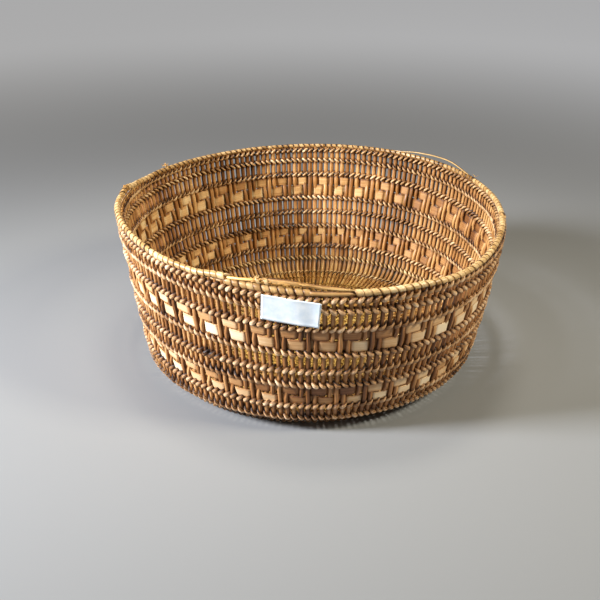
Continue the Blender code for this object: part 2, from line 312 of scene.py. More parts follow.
def closed_line(tree, points):
    """A round closed line with this many points."""
    feeds = {"Resolution": points, "Radius": 1.0}
    return add_node(tree, "GeometryNodeCurvePrimitiveCircle", feeds).outputs[0]


def along_line(tree, line, place, normal):
    """Moves the points of a line to their places and turns its face outwards."""
    moved = add_node(tree, "GeometryNodeSetPosition", {"Geometry": line, "Position": place})
    feeds = {"Curve": moved.outputs[0], "Normal": normal}
    return add_node(tree, "GeometryNodeSetCurveNormal", feeds, mode="FREE").outputs[0]


def round_section(tree, points, width, thickness):
    """The outline of a rod or strand, which also tells the material where each point of it is."""
    spot = tree.nodes.new("GeometryNodeInputPosition").outputs[0]
    marked = stored(tree, closed_line(tree, points), "section", spot, "FLOAT_VECTOR")
    size = as_vector(tree, thickness * 0.5, width * 0.5, 1.0)
    return add_node(tree, "GeometryNodeTransform", {"Geometry": marked, "Scale": size}).outputs[0]


def end_tree(tree, given, end, line, section, scale, caps=False):
    """Sweeps a section along a line, and ends the tree in real, smooth faces with a material."""
    feeds = {"Curve": line, "Profile Curve": section, "Scale": scale, "Fill Caps": caps}
    swept = add_node(tree, "GeometryNodeCurveToMesh", feeds)
    smooth = add_node(tree, "GeometryNodeSetShadeSmooth", {0: swept.outputs[0]})
    real = add_node(tree, "GeometryNodeRealizeInstances", {0: smooth.outputs[0]})
    feeds = {"Geometry": real.outputs[0], "Material": given["Material"]}
    painted = add_node(tree, "GeometryNodeSetMaterial", feeds)
    tree.links.new(painted.outputs[0], end.inputs["Geometry"])


def rod_tree():
    """Turns a guide's lines to their places, makes them crooked, and gives them their thickness."""
    tree, given, end = shape_tree("Rod fan", "Crook", "Unevenness", guide=True)
    rod = read(tree, "rod")
    along = read(tree, "along")
    lot = read(tree, "lot")
    radius, _, height = apart(tree, tree.nodes.new("GeometryNodeInputPosition").outputs[0])
    beside = bearing(rod)[1]
    pinch = as_number(tree, 0.0)
    for splint in SPLINTS.values():
        side = ((rod + splint["phase"]) * (math.pi / 2)).rule("COSINE") * -math.sqrt(2)
        towards = ((rod + splint["phase"]) * -math.pi).rule("SINE")
        away = height - (beside * splint["tilt"] + splint["level"])
        near = ((away / PUSH_REACH).within(-1.0, 1.0) * (math.pi / 2)).rule("COSINE")
        radius = radius + side * near * ROD_PUSH
        pinch = pinch + towards * near * ROD_PINCH
    radius = radius + ripple(tree, as_vector(tree, lot * 7.3, along * 45.0, 1.0), 1.0) * given["Crook"]
    lean = ripple(tree, as_vector(tree, lot * 5.1, along * 34.0, 9.0), 1.0) * given["Crook"]
    place, cosine, sine, _ = on_basket(tree, rod + pinch + lean * ROD_LEAN, radius, height)
    out = read(tree, "out")
    normal = as_vector(tree, cosine * out, sine * out, read(tree, "up"))
    line = add_node(tree, "GeometryNodeMeshToCurve", {0: given["Geometry"]}).outputs[0]
    line = along_line(tree, line, place, normal)
    tone = chance(tree, lot, 0.36, 11) + stretches(rod, ROD_TONES_AND_BACK_SHADE) + 0.5
    line = stored(tree, line, "tone", tone)
    swell = ripple(tree, as_vector(tree, lot * 3.7, along * 90.0, 4.0), 1.0, 2.0)
    swell = (swell * given["Unevenness"] + 1.0) * (chance(tree, lot, 0.08, 12) + 1.0)
    section = round_section(tree, 8, as_number(tree, 2.0), as_number(tree, 2.0))
    end_tree(tree, given, end, line, section, read(tree, "thick") * swell * 0.5, True)
    return tree


def wall_radius(height):
    """Radius of the rods' middle at a height: the wall leans out and straightens up."""
    below_rim = max(0.0, 1.0 - height / RIM_HEIGHT)
    return RIM_RADIUS - WALL_FLARE * below_rim ** WALL_CURVE


def rod_line(corner_steps, wall_steps):
    """The middle of a rod as radius and height: flat base edge, round corner, curved wall."""
    sweep = math.pi / 2 - math.atan(WALL_FLARE * WALL_CURVE / RIM_HEIGHT)
    flat = wall_radius(BASE_LINE) - CORNER_RADIUS * math.tan(sweep / 2)
    line = []
    for step in range(corner_steps + 1):
        turn = sweep * step / corner_steps
        out = flat + CORNER_RADIUS * math.sin(turn)
        line.append((out, BASE_LINE + CORNER_RADIUS * (1 - math.cos(turn))))
    foot = line[-1][1]
    for step in range(1, wall_steps + 1):
        height = foot + (ROD_TOP - foot) * step / wall_steps
        line.append((wall_radius(height), height))
    return line


ROD_LINE = rod_line(6, 27)
FLAT_RADIUS = ROD_LINE[0][0]


def rod_thickness(number, radius, height, start):
    """A rod grows from its tip in the base, fits its share of the base, and thins up the wall."""
    sharing = 4 if radius < SECOND_RODS_FROM else 2 if radius < THIRD_RODS_FROM else 1
    room = ROD_ROOM_SHARE * math.tau * radius * sharing / ROD_COUNT
    grown = ROD_FOOT_THICKNESS + (ROD_HEAD_THICKNESS - ROD_FOOT_THICKNESS) * height / RIM_HEIGHT
    grown += BACK_ROD_EXTRA * max(0.0, math.sin(number * ROD_PITCH))
    return min(room, grown, ROD_TIP_THICKNESS + ROD_TIP_TAPER * (radius - start))


def line_guide(name, lines):
    """Lines of points in the XZ plane. Each point has a rod number, radius, height, thickness and
    facing, and each line has a lot number."""
    points = []
    edges = []
    facts = {"rod": [], "along": [], "thick": [], "out": [], "up": [], "lot": []}
    for lot, course in lines:
        run = 0.0
        for i, (rod, radius, height, thick, out, up) in enumerate(course):
            if i:
                before = course[i - 1]
                around = (rod - before[0]) * ROD_PITCH * radius
                run += math.hypot(around, radius - before[1], height - before[2])
                edges.append((len(points) - 1, len(points)))
            points.append((radius, 0.0, height))
            for label, value in zip(facts, (rod, run, thick, out, up, lot)):
                facts[label].append(float(value))
    mesh = bpy.data.meshes.new(name + "_guide")
    mesh.from_pydata(points, edges, [])
    for label, values in facts.items():
        mesh.attributes.new(label, "FLOAT", "POINT").data.foreach_set("value", values)
    return mesh


def rod_course(number):
    """One rod from its tip in the base to the rim."""
    start = (FIRST_RODS_FROM, THIRD_RODS_FROM, SECOND_RODS_FROM, THIRD_RODS_FROM)[number % 4]
    start += ROD_TIP_STAGGER * (number * 37 % 7)
    steps = math.ceil((FLAT_RADIUS - start) / BASE_STEP)
    course = [(start + (FLAT_RADIUS - start) * i / steps, BASE_LINE) for i in range(steps)] + ROD_LINE
    places = []
    for i, (radius, height) in enumerate(course):
        before = course[max(i - 1, 0)]
        after = course[min(i + 1, len(course) - 1)]
        run = (after[0] - before[0], after[1] - before[1])
        length = math.hypot(*run)
        thick = rod_thickness(number, radius, height, start)
        places.append((number, radius, height, thick, run[1] / length, -run[0] / length))
    return places


def grow(name, tree, guide, sizes, node_names):
    """Runs a tree on a guide, keeps the result as a plain mesh, hangs it on the root body and hides the
    parts of model.glb that it stands for.
    """
    host = bpy.data.objects.new(name + "_guide", guide or bpy.data.meshes.new(name + "_guide"))
    bpy.context.scene.collection.objects.link(host)
    growth = host.modifiers.new("growth", "NODES")
    growth.node_group = tree
    for socket in tree.interface.items_tree:
        if socket.in_out == "INPUT" and socket.name in sizes:
            growth[socket.identifier] = sizes[socket.name]
    bpy.context.view_layer.update()
    shape = host.evaluated_get(bpy.context.evaluated_depsgraph_get())
    mesh = bpy.data.meshes.new_from_object(shape)
    mesh.name = name
    host.modifiers.remove(growth)
    bpy.data.objects.remove(host, do_unlink=True)
    piece = bpy.data.objects.new(name, mesh)
    bpy.context.scene.collection.objects.link(piece)
    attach(piece, "root")
    if node_names:
        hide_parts(*node_names)
    return piece


def plant_fibre_tree():
    """Streaks that run along a fibre, blotches over the whole basket, a fine raised grain, the old dark
    stain, painted shade at a fibre's sides, where it dives behind another and beside the rows, and the
    sheltered base and inner side, which have kept more of their golden tone."""
    sockets = {**floats("Along", "Hidden_shade", "Streaks", "Blotches", "Row_shade"), "Section": "Vector"}
    results = floats("Streak", "Blotch", "Grain", "Stain", "Painted_shade", "Sheltered")
    tree, given, end = new_tree("Plant fibre", "ShaderNodeTree", sockets, results)
    deep, across, _ = apart(tree, given["Section"])
    run = given["Along"] * STREAKS_PER_METRE
    drawn = as_vector(tree, run, across * given["Streaks"], deep * given["Streaks"])
    streak = ripple(tree, drawn, 1.0, 3.0) + 0.5
    fine = as_vector(tree, given["Along"] * GRAINS_PER_METRE, across * 6.0, deep * 6.0)
    grain = ripple(tree, fine, 1.0, 4.0) + 0.5
    spot = tree.nodes.new("ShaderNodeTexCoord").outputs["Object"]
    blotch = ripple(tree, spot, given["Blotches"], 3.0) + 0.5
    away = add_node(tree, "ShaderNodeVectorMath", {0: spot, 1: STAIN_SPOT}, operation="DISTANCE")
    away = Field(tree, away.outputs["Value"]) / STAIN_REACH + ripple(tree, spot, 150.0, 2.0)
    stain = (away * -1.0 + 1.9).within(0.0, 0.5)
    right, back, level = apart(tree, spot)
    # Painted shadow: a dark band on the rods above and below each wall row, where the strands shade them.
    row_shade = as_number(tree, 0.0)
    for row in WALL_ROWS.values():
        slope = back * (row["tilt"] / RIM_RADIUS) + row["level"]
        row_shade = row_shade + level.hill(slope, ROW_SHADE_REACH)
    # Painted shade at a fibre's sides, outside the middle FIBRE_FACE share of its width. It is added to the
    # painted shade at crossings and beside the rows.
    edge = (across.rule("ABSOLUTE") - FIBRE_FACE).rule("MAXIMUM", 0.0) / (1.0 - FIBRE_FACE)
    painted_shade = edge * edge + given["Hidden_shade"] + row_shade * given["Row_shade"]
    painted_shade = painted_shade.within(0.0, 1.0) * (grain * 0.5 + 0.75)
    out = (right * right + back * back).rule("SQRT")
    on_base = ((out - SHELTERED_BASE_RADIUS) / -SHELTERED_BASE_FADE).within(0.0, 1.0)
    low_down = ((level - SHELTERED_WALL_HEIGHT) / -SHELTERED_WALL_FADE).within(0.35, 0.8)
    inside = low_down * (deep * -1.0 + 0.1).within(0.0, 1.0)
    values = (streak, blotch, grain, stain, painted_shade, on_base.rule("MAXIMUM", inside))
    for label, value in zip(results, values):
        tree.links.new(value.socket, end.inputs[label])
    return tree


PLANT_FIBRE = plant_fibre_tree()


def new_material(name):
    """A material, its node tree and its shader."""
    material = bpy.data.materials.new(name)
    material.use_nodes = True
    return material, material.node_tree, material.node_tree.nodes["Principled BSDF"]


def colour_ramp(tree, value, stops):
    """Turns a number into a colour, from stops that give a place from 0 to 1 and a colour."""
    ramp = add_node(tree, "ShaderNodeValToRGB", {0: value})
    elements = ramp.color_ramp.elements
    elements.remove(elements[1])
    for i, (place, colour) in enumerate(stops):
        element = elements.new(place) if i else elements[0]
        element.position = place
        element.color = colour
    return ramp


def bumped(tree, shader, height, strength, distance):
    """Raises the surface of a material."""
    bump = add_node(tree, "ShaderNodeBump", {"Height": height, "Strength": strength, "Distance": distance})
    tree.links.new(bump.outputs[0], shader.inputs["Normal"])


def fibre_material(
    name, tones, roughness, streaks=2.6, blotches=26.0, shares=(0.5, 0.5, 0.3, 0.4), relief=0.35, row_shade=0.0,
):
    """Aged plant fibre: tones from dark to light, picked by lot, by streak, by blotch and by painted shade.
    """
    material, tree, shader = new_material(name)
    feeds = {"Streaks": streaks, "Blotches": blotches, "Row_shade": row_shade}
    for label, output in (("along", "Fac"), ("hidden_shade", "Fac"), ("section", "Vector")):
        carried = add_node(tree, "ShaderNodeAttribute", attribute_name=label)
        feeds[label.capitalize()] = carried.outputs[output]
    fibre = add_node(tree, "ShaderNodeGroup", feeds, node_tree=PLANT_FIBRE)
    lot = Field(tree, add_node(tree, "ShaderNodeAttribute", attribute_name="tone").outputs["Fac"])
    streak, blotch, grain, stain, painted_shade, sheltered = (Field(tree, socket) for socket in fibre.outputs)
    pick = (lot - 0.5) * shares[0] + (streak - 0.5) * (shares[1] * 2.0)
    pick = pick + (blotch - 0.5) * (shares[2] * 2.0) - painted_shade * shares[3]
    pick = pick + sheltered * 0.14 + 0.58 - stain
    stops = [(i / (len(tones) - 1), tint(*tone)) for i, tone in enumerate(tones)]
    feeds = {"Factor": sheltered, 6: colour_ramp(tree, pick, stops).outputs[0], 7: SHELTERED_TINT}
    golden = add_node(tree, "ShaderNodeMix", feeds, data_type="RGBA", blend_type="MULTIPLY")
    tree.links.new(golden.outputs[2], shader.inputs["Base Color"])
    sheen = (grain - 0.5) * 0.3 + painted_shade * 0.2 + roughness
    tree.links.new(sheen.socket, shader.inputs["Roughness"])
    bumped(tree, shader, grain * 0.5 + streak, relief, FIBRE_RELIEF)
    return material


# The rods take the painted shadow beside the rows.
rod_brown = fibre_material(
    "aged_rods",
    [(34, 18, 6), (82, 48, 20), (126, 80, 38), (162, 110, 64), (190, 142, 90), (210, 168, 118)],
    0.42,
    streaks=3.4,
    relief=0.6,
    row_shade=0.65,
)
rod_trees = rod_tree()
for fan in range(ROD_COUNT // RODS_PER_FAN):
    numbers = range(fan * RODS_PER_FAN, (fan + 1) * RODS_PER_FAN)
    grow(
        f"rods_{fan + 1:02d}",
        rod_trees,
        line_guide("rods", [(number, rod_course(number)) for number in numbers]),
        {"Crook": ROD_CROOK, "Unevenness": ROD_UNEVENNESS, "Material": rod_brown},
        [f"warps_{fan + 1:02d}"],
    )


# The twined rows
# Split root strands, worked in pairs. In each row the two strands pass one outside and one inside
# of a rod, cross between the rods, and change sides, so each shows as a slanted knob on every
# other rod. The slant changes from row to row. The strands are held by nothing but each other.
STRAND_WIDTH = 0.0042
STRAND_THICKNESS = 0.003
STRAND_REACH = 0.0032
STRAND_CLIMB = 0.0021
STRAND_STRAY = 0.0003
ROW_WANDER = 0.0011
KNOBS_PER_SPLICE = 8.0
POINTS_PER_KNOB = 8
STRAND_TONES = [(14.0, 26.0, 0.12)]


def point_number(tree):
    """The number of each point along its line."""
    return Field(tree, tree.nodes.new("GeometryNodeInputIndex").outputs[0])


def off_rods(given, outward, level):
    """Radius and height of a point that lies outward of the rods and along them by level."""
    radius = given["Radius"] + outward * given["Out"] - level * given["Up"]
    return radius, given["Height"] + outward * given["Up"] + level * given["Out"]


def strand_tree():
    """One strand of a pair, as a closed line that winds in and out between the rods."""
    tree, given, end = shape_tree(
        "Twined strand", "Radius", "Height", "Out", "Up", "Stride", "Phase", "Reach", "Climb", "Width",
        "Thickness", "Wander", "Tilt", "Lean", "Row",
    )
    stride = given["Stride"]
    knobs = as_number(tree, float(ROD_COUNT)) / stride
    step = point_number(tree) / POINTS_PER_KNOB
    rod = step * stride
    turn = (step + given["Phase"]) * math.pi
    swing = turn.rule("COSINE")
    lift = turn.rule("SINE")
    knob = (step + 0.5).rule("FLOOR") % knobs
    lot = knob + given["Row"] * 211.0 + given["Phase"] * 97.0
    bow = swing * (swing * swing * -0.22 + 1.22)
    reach = given["Reach"] * (chance(tree, lot, 0.06, 21) + 1.0)
    around, beside = bearing(rod)
    circle = as_vector(tree, around, beside, given["Row"] * 1.7)
    drift = (ripple(tree, circle, 2.2, 2.0) + ripple(tree, circle, 14.0) * 0.35) * given["Wander"]
    drift = drift + beside * given["Tilt"] + around * given["Lean"]
    stray = chance(tree, lot, STRAND_STRAY, 22) * swing * swing
    radius, height = off_rods(given, bow * reach, given["Climb"] * lift + drift + stray)
    place, cosine, sine, spacing = on_basket(tree, rod, radius, height)
    slope = lift * given["Reach"] * -math.pi / (given["Radius"] * stride * spacing * ROD_PITCH)
    normal = as_vector(
        tree,
        cosine * given["Out"] + sine * slope,
        sine * given["Out"] - cosine * slope,
        given["Up"],
    )
    line = along_line(tree, closed_line(tree, knobs * POINTS_PER_KNOB), place, normal)
    line = stored(tree, line, "along", given["Radius"] * rod * ROD_PITCH)
    inside = (swing * -1.0).rule("MAXIMUM", 0.0)
    # Painted shade where the two strands cross between the rods, and over the strand's inner side.
    hidden_shade = (swing * swing * -3.5 + 0.9).rule("MAXIMUM", 0.0) + inside * 0.28
    line = stored(tree, line, "hidden_shade", hidden_shade)
    splice = (step / KNOBS_PER_SPLICE + given["Row"] * 3.0 + given["Phase"] * 0.5).rule("FLOOR")
    tone = chance(tree, lot, 0.3, 23) + chance(tree, splice, 0.2, 24) + stretches(rod, STRAND_TONES) + 0.5
    line = stored(tree, line, "tone", tone)
    section = round_section(tree, 8, given["Width"], given["Thickness"])
    swell = (swing * swing * 0.28 + 0.75 - inside * 0.3) * (chance(tree, lot, 0.08, 25) + 1.0) * spacing
    end_tree(tree, given, end, line, section, swell)
    return tree


def on_rod(axis, value):
    """Where the rod line's radius (axis 0) or height (axis 1) is value, and its outward normal."""
    for start, end in zip(ROD_LINE, ROD_LINE[1:]):
        if value <= end[axis] or end is ROD_LINE[-1]:
            run = (end[0] - start[0], end[1] - start[1])
            share = (value - start[axis]) / run[axis]
            length = math.hypot(*run)
            point = (start[0] + share * run[0], start[1] + share * run[1])
            return point, (run[1] / length, -run[0] / length)


strand_trees = strand_tree()


def add_pair(name, place, facing, slant, row, material, slot, node_names, **changes):
    """The two strands of one row, which run half a turn apart."""
    for phase, node_name in enumerate(node_names):
        sizes = {
            "Radius": place[0], "Height": place[1], "Out": facing[0], "Up": facing[1], "Stride": 1.0,
            "Phase": float(phase), "Reach": STRAND_REACH, "Climb": STRAND_CLIMB * slant,
            "Width": STRAND_WIDTH, "Thickness": STRAND_THICKNESS, "Wander": ROW_WANDER, "Row": float(row),
            "Material": material,
        }
        sizes.update(changes)
        grow(f"{name}_strand_{phase + 1}", strand_trees, None, sizes, [node_name])


strand_tan = fibre_material(
    "twined_strands",
    [(40, 20, 6), (97, 61, 31), (155, 111, 70), (193, 151, 107), (219, 185, 148), (237, 215, 186)],
    0.42,
    streaks=4.0,
    shares=(0.5, 0.5, 0.3, 0.6),
    relief=0.7,
)
for row, (letter, run) in enumerate(WALL_ROWS.items()):
    spot, facing = on_rod(1, run["level"])
    nodes = [f"row_{letter}_outer", f"row_{letter}_inner"]
    changes = {"Tilt": run["tilt"], "Lean": run["lean"]}
    add_pair(f"row_{letter}", spot, facing, run["slant"], row, strand_tan, "strand", nodes, **changes)


# The twill bands
# Two bands of two flat split-wood splints each, about 10 mm wide. Each splint goes outside two rods
# and inside the next two, and the upper one is a rod behind the lower one. The rods grip them.
SPLINT_THICKNESS = 0.0009
SPLINT_REACH = 0.001
SPLINT_WANDER = 0.0012
SPLINT_STRAY = 0.00025
POINTS_PER_ROD = 6
SPLINT_TONES = [(130.0, 13.0, -0.36), (20.0, 34.0, -0.6)]
SPLINT_INNER_TONES = [(95.0, 38.0, 0.2), (10.0, 30.0, -0.3)]


def splint_tree():
    """One flat splint that runs around the basket, over two rods and under two."""
    tree, given, end = shape_tree(
        "Twilled splint", "Radius", "Height", "Out", "Up", "Phase", "Width", "Thickness", "Reach", "Rag",
        "Tilt", "Tone", "Row",
    )
    rod = point_number(tree) / POINTS_PER_ROD
    wave = ((rod + given["Phase"]) * (math.pi / 2)).rule("COSINE") * math.sqrt(2) + 0.3
    flat = ((wave * 1.5).within(-1.0, 1.0) * (math.pi / 2)).rule("SINE")
    outward = (flat + wave * 0.1) * given["Reach"]
    around, beside = bearing(rod)
    circle = as_vector(tree, around, beside, given["Row"] * 2.3)
    float_number = ((rod + given["Phase"]) / 2.0 + 0.5).rule("FLOOR") % (ROD_COUNT / 2)
    lot = float_number + given["Row"] * 131.0
    level = ripple(tree, circle, 5.0, 2.0) * SPLINT_WANDER + beside * given["Tilt"]
    level = level + chance(tree, lot, SPLINT_STRAY, 33) * flat
    radius, height = off_rods(given, outward, level)
    place, cosine, sine, _ = on_basket(tree, rod, radius, height)
    normal = as_vector(tree, cosine * given["Out"], sine * given["Out"], given["Up"])
    line = along_line(tree, closed_line(tree, ROD_COUNT * POINTS_PER_ROD), place, normal)
    line = stored(tree, line, "along", given["Radius"] * rod * ROD_PITCH)
    # Painted shade where the splint dives behind the rods.
    line = stored(tree, line, "hidden_shade", (flat.rule("ABSOLUTE") * -2.0 + 1.0).rule("MAXIMUM", 0.0))
    tone = chance(tree, lot, 0.2, 31) + ripple(tree, circle, 2.5, 1.0) * 0.4
    tone = tone + stretches(rod, SPLINT_TONES) + given["Tone"]
    inside = (flat * -1.0).rule("MAXIMUM", 0.0)
    inner_tone = chance(tree, lot, 0.14, 34) + stretches(rod, SPLINT_INNER_TONES) + 0.37
    tone = tone + (inner_tone - tone) * inside
    line = stored(tree, line, "tone", tone)
    right, up, _ = apart(tree, tree.nodes.new("GeometryNodeInputPosition").outputs[0])
    across = (right * 1.2).within(-1.0, 1.0)
    deep = (up * 2.2).within(-1.0, 1.0)
    facing = as_vector(tree, deep, across, 0.0)
    marked = stored(tree, closed_line(tree, 16), "section", facing, "FLOAT_VECTOR")
    corner = as_vector(tree, deep * given["Thickness"] * 0.5, across * given["Width"] * 0.5, 0.0)
    section = add_node(tree, "GeometryNodeSetPosition", {"Geometry": marked, "Position": corner})
    ragged = ripple(tree, circle, 60.0, 2.0) * given["Rag"] + 1.0
    end_tree(tree, given, end, line, section.outputs[0], ragged)
    return tree


splint_pale = fibre_material(
    "split_wood_splints",
    [(64, 34, 14), (120, 74, 38), (164, 114, 68), (202, 158, 110), (222, 190, 150), (234, 212, 180)],
    0.5,
    streaks=8.0,
    shares=(0.8, 0.3, 0.2, 0.3),
)
splint_trees = splint_tree()
for row, (name, splint) in enumerate(SPLINTS.items()):
    spot, facing = on_rod(1, splint["level"])
    sizes = {
        "Radius": spot[0], "Height": spot[1], "Out": facing[0], "Up": facing[1], "Phase": splint["phase"],
        "Width": splint["width"], "Thickness": SPLINT_THICKNESS, "Reach": SPLINT_REACH, "Rag": 0.2,
        "Tilt": splint["tilt"], "Tone": splint["tone"], "Row": float(row), "Material": splint_pale,
    }
    grow(name + "_splint_strip", splint_trees, None, sizes, [name + "_splint"])


# The base
# The same twining on the flat rods, in thinner strands, so that the base stands flat: a corner row
# where the rods turn up, two brown rows on all the rods and two on every other one. Inside them a
# close-twined spiral, which has kept its golden tone, covers the middle, where the rods meet.
CORNER_ROW_RADIUS = FLAT_RADIUS + 0.0098
BASE_ROW_RADII = {"j": 0.1392, "k": 0.1220, "l": 0.1048, "m": 0.0876}
BASE_STRAND_WIDTH = 0.0036
BASE_STRAND_THICKNESS = 0.0019
BASE_STRAND_REACH = 0.0027
START_FROM = 0.0075
START_CENTRE_TO = 0.021
START_MIDDLE_TO = SECOND_RODS_FROM + 0.006
START_TO = 0.0785
START_ROW_STEP = 0.0039
START_REACH = BASE_STRAND_REACH - 0.0002
START_CLIMB = 0.0011
POINTS_PER_START_KNOB = 5.0
FIRST_BASE_ROW = 9
CROSS_PITCH = 0.0024
CROSS_LENGTH = 0.03
CROSS_STEPS = 16
CROSS_LOTS = (700, 710)

base_gold = fibre_material(
    "golden_base_strands",
    [(56, 32, 8), (118, 76, 28), (160, 113, 52), (186, 139, 73), (202, 158, 93), (216, 176, 116)],
    0.7,
    streaks=3.0,
    shares=(0.3, 0.3, 0.3, 0.25),
    relief=0.15,
)
base_brown = fibre_material(
    "brown_base_strands",
    [(40, 20, 6), (88, 52, 20), (130, 84, 38), (160, 110, 56), (184, 136, 78), (206, 162, 104)],
    0.6,
    streaks=3.0,
)
spot, facing = on_rod(0, CORNER_ROW_RADIUS)
add_pair(
    "corner_row", spot, facing, 1, FIRST_BASE_ROW - 1, strand_tan, "base_strand",
    ["corner_row_outer", "corner_row_inner"], Width=BASE_STRAND_WIDTH,
)
for row, (letter, radius) in enumerate(BASE_ROW_RADII.items()):
    nodes = [f"base_row_{letter}_lower", f"base_row_{letter}_upper"]
    slant = 1 if row % 2 else -1
    changes = {
        "Stride": 1.0 if radius > THIRD_RODS_FROM else 2.0,
        "Width": BASE_STRAND_WIDTH, "Thickness": BASE_STRAND_THICKNESS, "Reach": BASE_STRAND_REACH,
    }
    add_pair(
        f"base_row_{letter}", (radius, BASE_LINE), (0.0, -1.0), slant, FIRST_BASE_ROW + row, base_brown,
        "base_strand", nodes, **changes,
    )


def open_line(tree, points):
    """A straight line with this many points."""
    start = tree.nodes.new("GeometryNodeCurvePrimitiveLine").outputs[0]
    return add_node(tree, "GeometryNodeResampleCurve", {"Curve": start, "Count": points}).outputs[0]


def start_tree():
    """A stretch of one strand of the close-twined spiral, from one radius to another."""
    tree, given, end = shape_tree(
        "Close-twined start", "First", "Last", "Step", "Stride", "Phase", "Reach", "Climb", "Width",
        "Thickness",
    )
    stride = given["Stride"]
    knobs = (given["Last"] - given["First"]) / given["Step"] * ROD_COUNT / stride
    step = point_number(tree) / POINTS_PER_START_KNOB
    rod = step * stride
    turn = (step + given["Phase"]) * math.pi
    swing = turn.rule("COSINE")
    lift = turn.rule("SINE")
    lot = (step + 0.5).rule("FLOOR") + given["Phase"] * 907.0
    radius = rod / ROD_COUNT * given["Step"] + given["First"] + given["Climb"] * lift
    height = swing * given["Reach"] * -1.0 + BASE_LINE
    place = on_basket(tree, rod, radius, height)[0]
    line = open_line(tree, knobs * POINTS_PER_START_KNOB + 1.0)
    line = along_line(tree, line, place, as_vector(tree, 0.0, 0.0, -1.0))
    line = stored(tree, line, "along", radius * rod * ROD_PITCH)
    # Painted shade where the two strands cross.
    line = stored(tree, line, "hidden_shade", (swing * swing * -1.6 + 1.0).rule("MAXIMUM", 0.0))
    line = stored(tree, line, "tone", chance(tree, lot, 0.4, 51) + 0.5)
    section = round_section(tree, 6, given["Width"], given["Thickness"])
    swell = (swing * swing * 0.3 + 0.72) * (chance(tree, lot, 0.06, 52) + 1.0)
    end_tree(tree, given, end, line, section, swell, True)
    return tree


start_trees = start_tree()
START_PARTS = {
    "centre": (START_FROM, START_CENTRE_TO, 8.0),
    "middle": (START_CENTRE_TO, START_MIDDLE_TO, 4.0),
    "outer": (START_MIDDLE_TO, START_TO, 2.0),
}
for name, (first, last, stride) in START_PARTS.items():
    for phase in (0, 1):
        sizes = {
            "First": first, "Last": last, "Step": START_ROW_STEP, "Stride": stride, "Phase": float(phase),
            "Reach": START_REACH, "Climb": START_CLIMB, "Width": BASE_STRAND_WIDTH,
            "Thickness": BASE_STRAND_THICKNESS, "Material": base_gold,
        }
        label = f"base_start_{name}_strand_{phase + 1}"
        grow(label, start_trees, None, sizes, ["base_start"])


def cross_course(lane, turn):
    """One of the short rods that cross in the very middle, four one way and four the other."""
    aside = (lane - 1.5) * CROSS_PITCH
    course = []
    for step in range(CROSS_STEPS + 1):
        run = (step / CROSS_STEPS - 0.5) * CROSS_LENGTH
        angle = math.atan2(aside, run) + turn
        height = BASE_LINE + (0.5 if turn else -0.5) * CROSS_PITCH
        course.append((angle / ROD_PITCH, math.hypot(run, aside), height, CROSS_PITCH, 0.0, -1.0))
    return course


lines = []
for lot, turn in zip(CROSS_LOTS, (0.0, math.pi / 2)):
    lines += [(lot + lane, cross_course(lane, turn)) for lane in range(4)]
sizes = {"Crook": 0.0002, "Unevenness": 0.15, "Material": base_gold}
grow("base_start_cross", rod_trees, line_guide("cross", lines), sizes, ["base_start"])


# The rim
# The rods' ends are held between two sticks in a straw-coloured strap that is wound around them,
# one turn to every rod. In front the upper stick has sprung out of its wraps and lies bare above
# a lower coil, and at the back right a thin stick arches away. Some wraps are frayed.
RIM_WANDER = 0.0012
STRAP_REACH = 0.002
WRAP_LENGTH = 0.017
POINTS_PER_WRAP = 14.0
# Painted shade: the strap is darker around rod 220, at the back of the rim.
STRAP_BACK_SHADE = [(220.0, 48.0, -0.4)]
FRAY_SCATTER = 0.0014
FRAY_LOT = 600
LOTS_PER_FRAY = 50
ROLL_FROM = 136.4
ROLL_TO = 120.8 + ROD_COUNT
COIL_FROM = 120.2
COIL_TO = 131.1
ROLL_SWELLS = [
    {"rod": 296.2, "reach": 4.0, "size": 0.08, "rise": 0.0034, "out": 0.0},
    {"rod": 270.0, "reach": 15.0, "size": 0.04, "rise": 0.005, "out": 0.0},
    {"rod": 137.0, "reach": 2.6, "size": 0.14, "rise": 0.0002, "out": 0.0},
    {"rod": 153.0, "reach": 8.0, "size": 0.0, "rise": -0.0022, "out": 0.0},
    {"rod": 220.0, "reach": 48.0, "size": -0.26, "rise": -0.0008, "out": -0.0004},
    {"rod": 261.4, "reach": 2.2, "size": 0.2, "rise": 0.002, "out": 0.0},
]


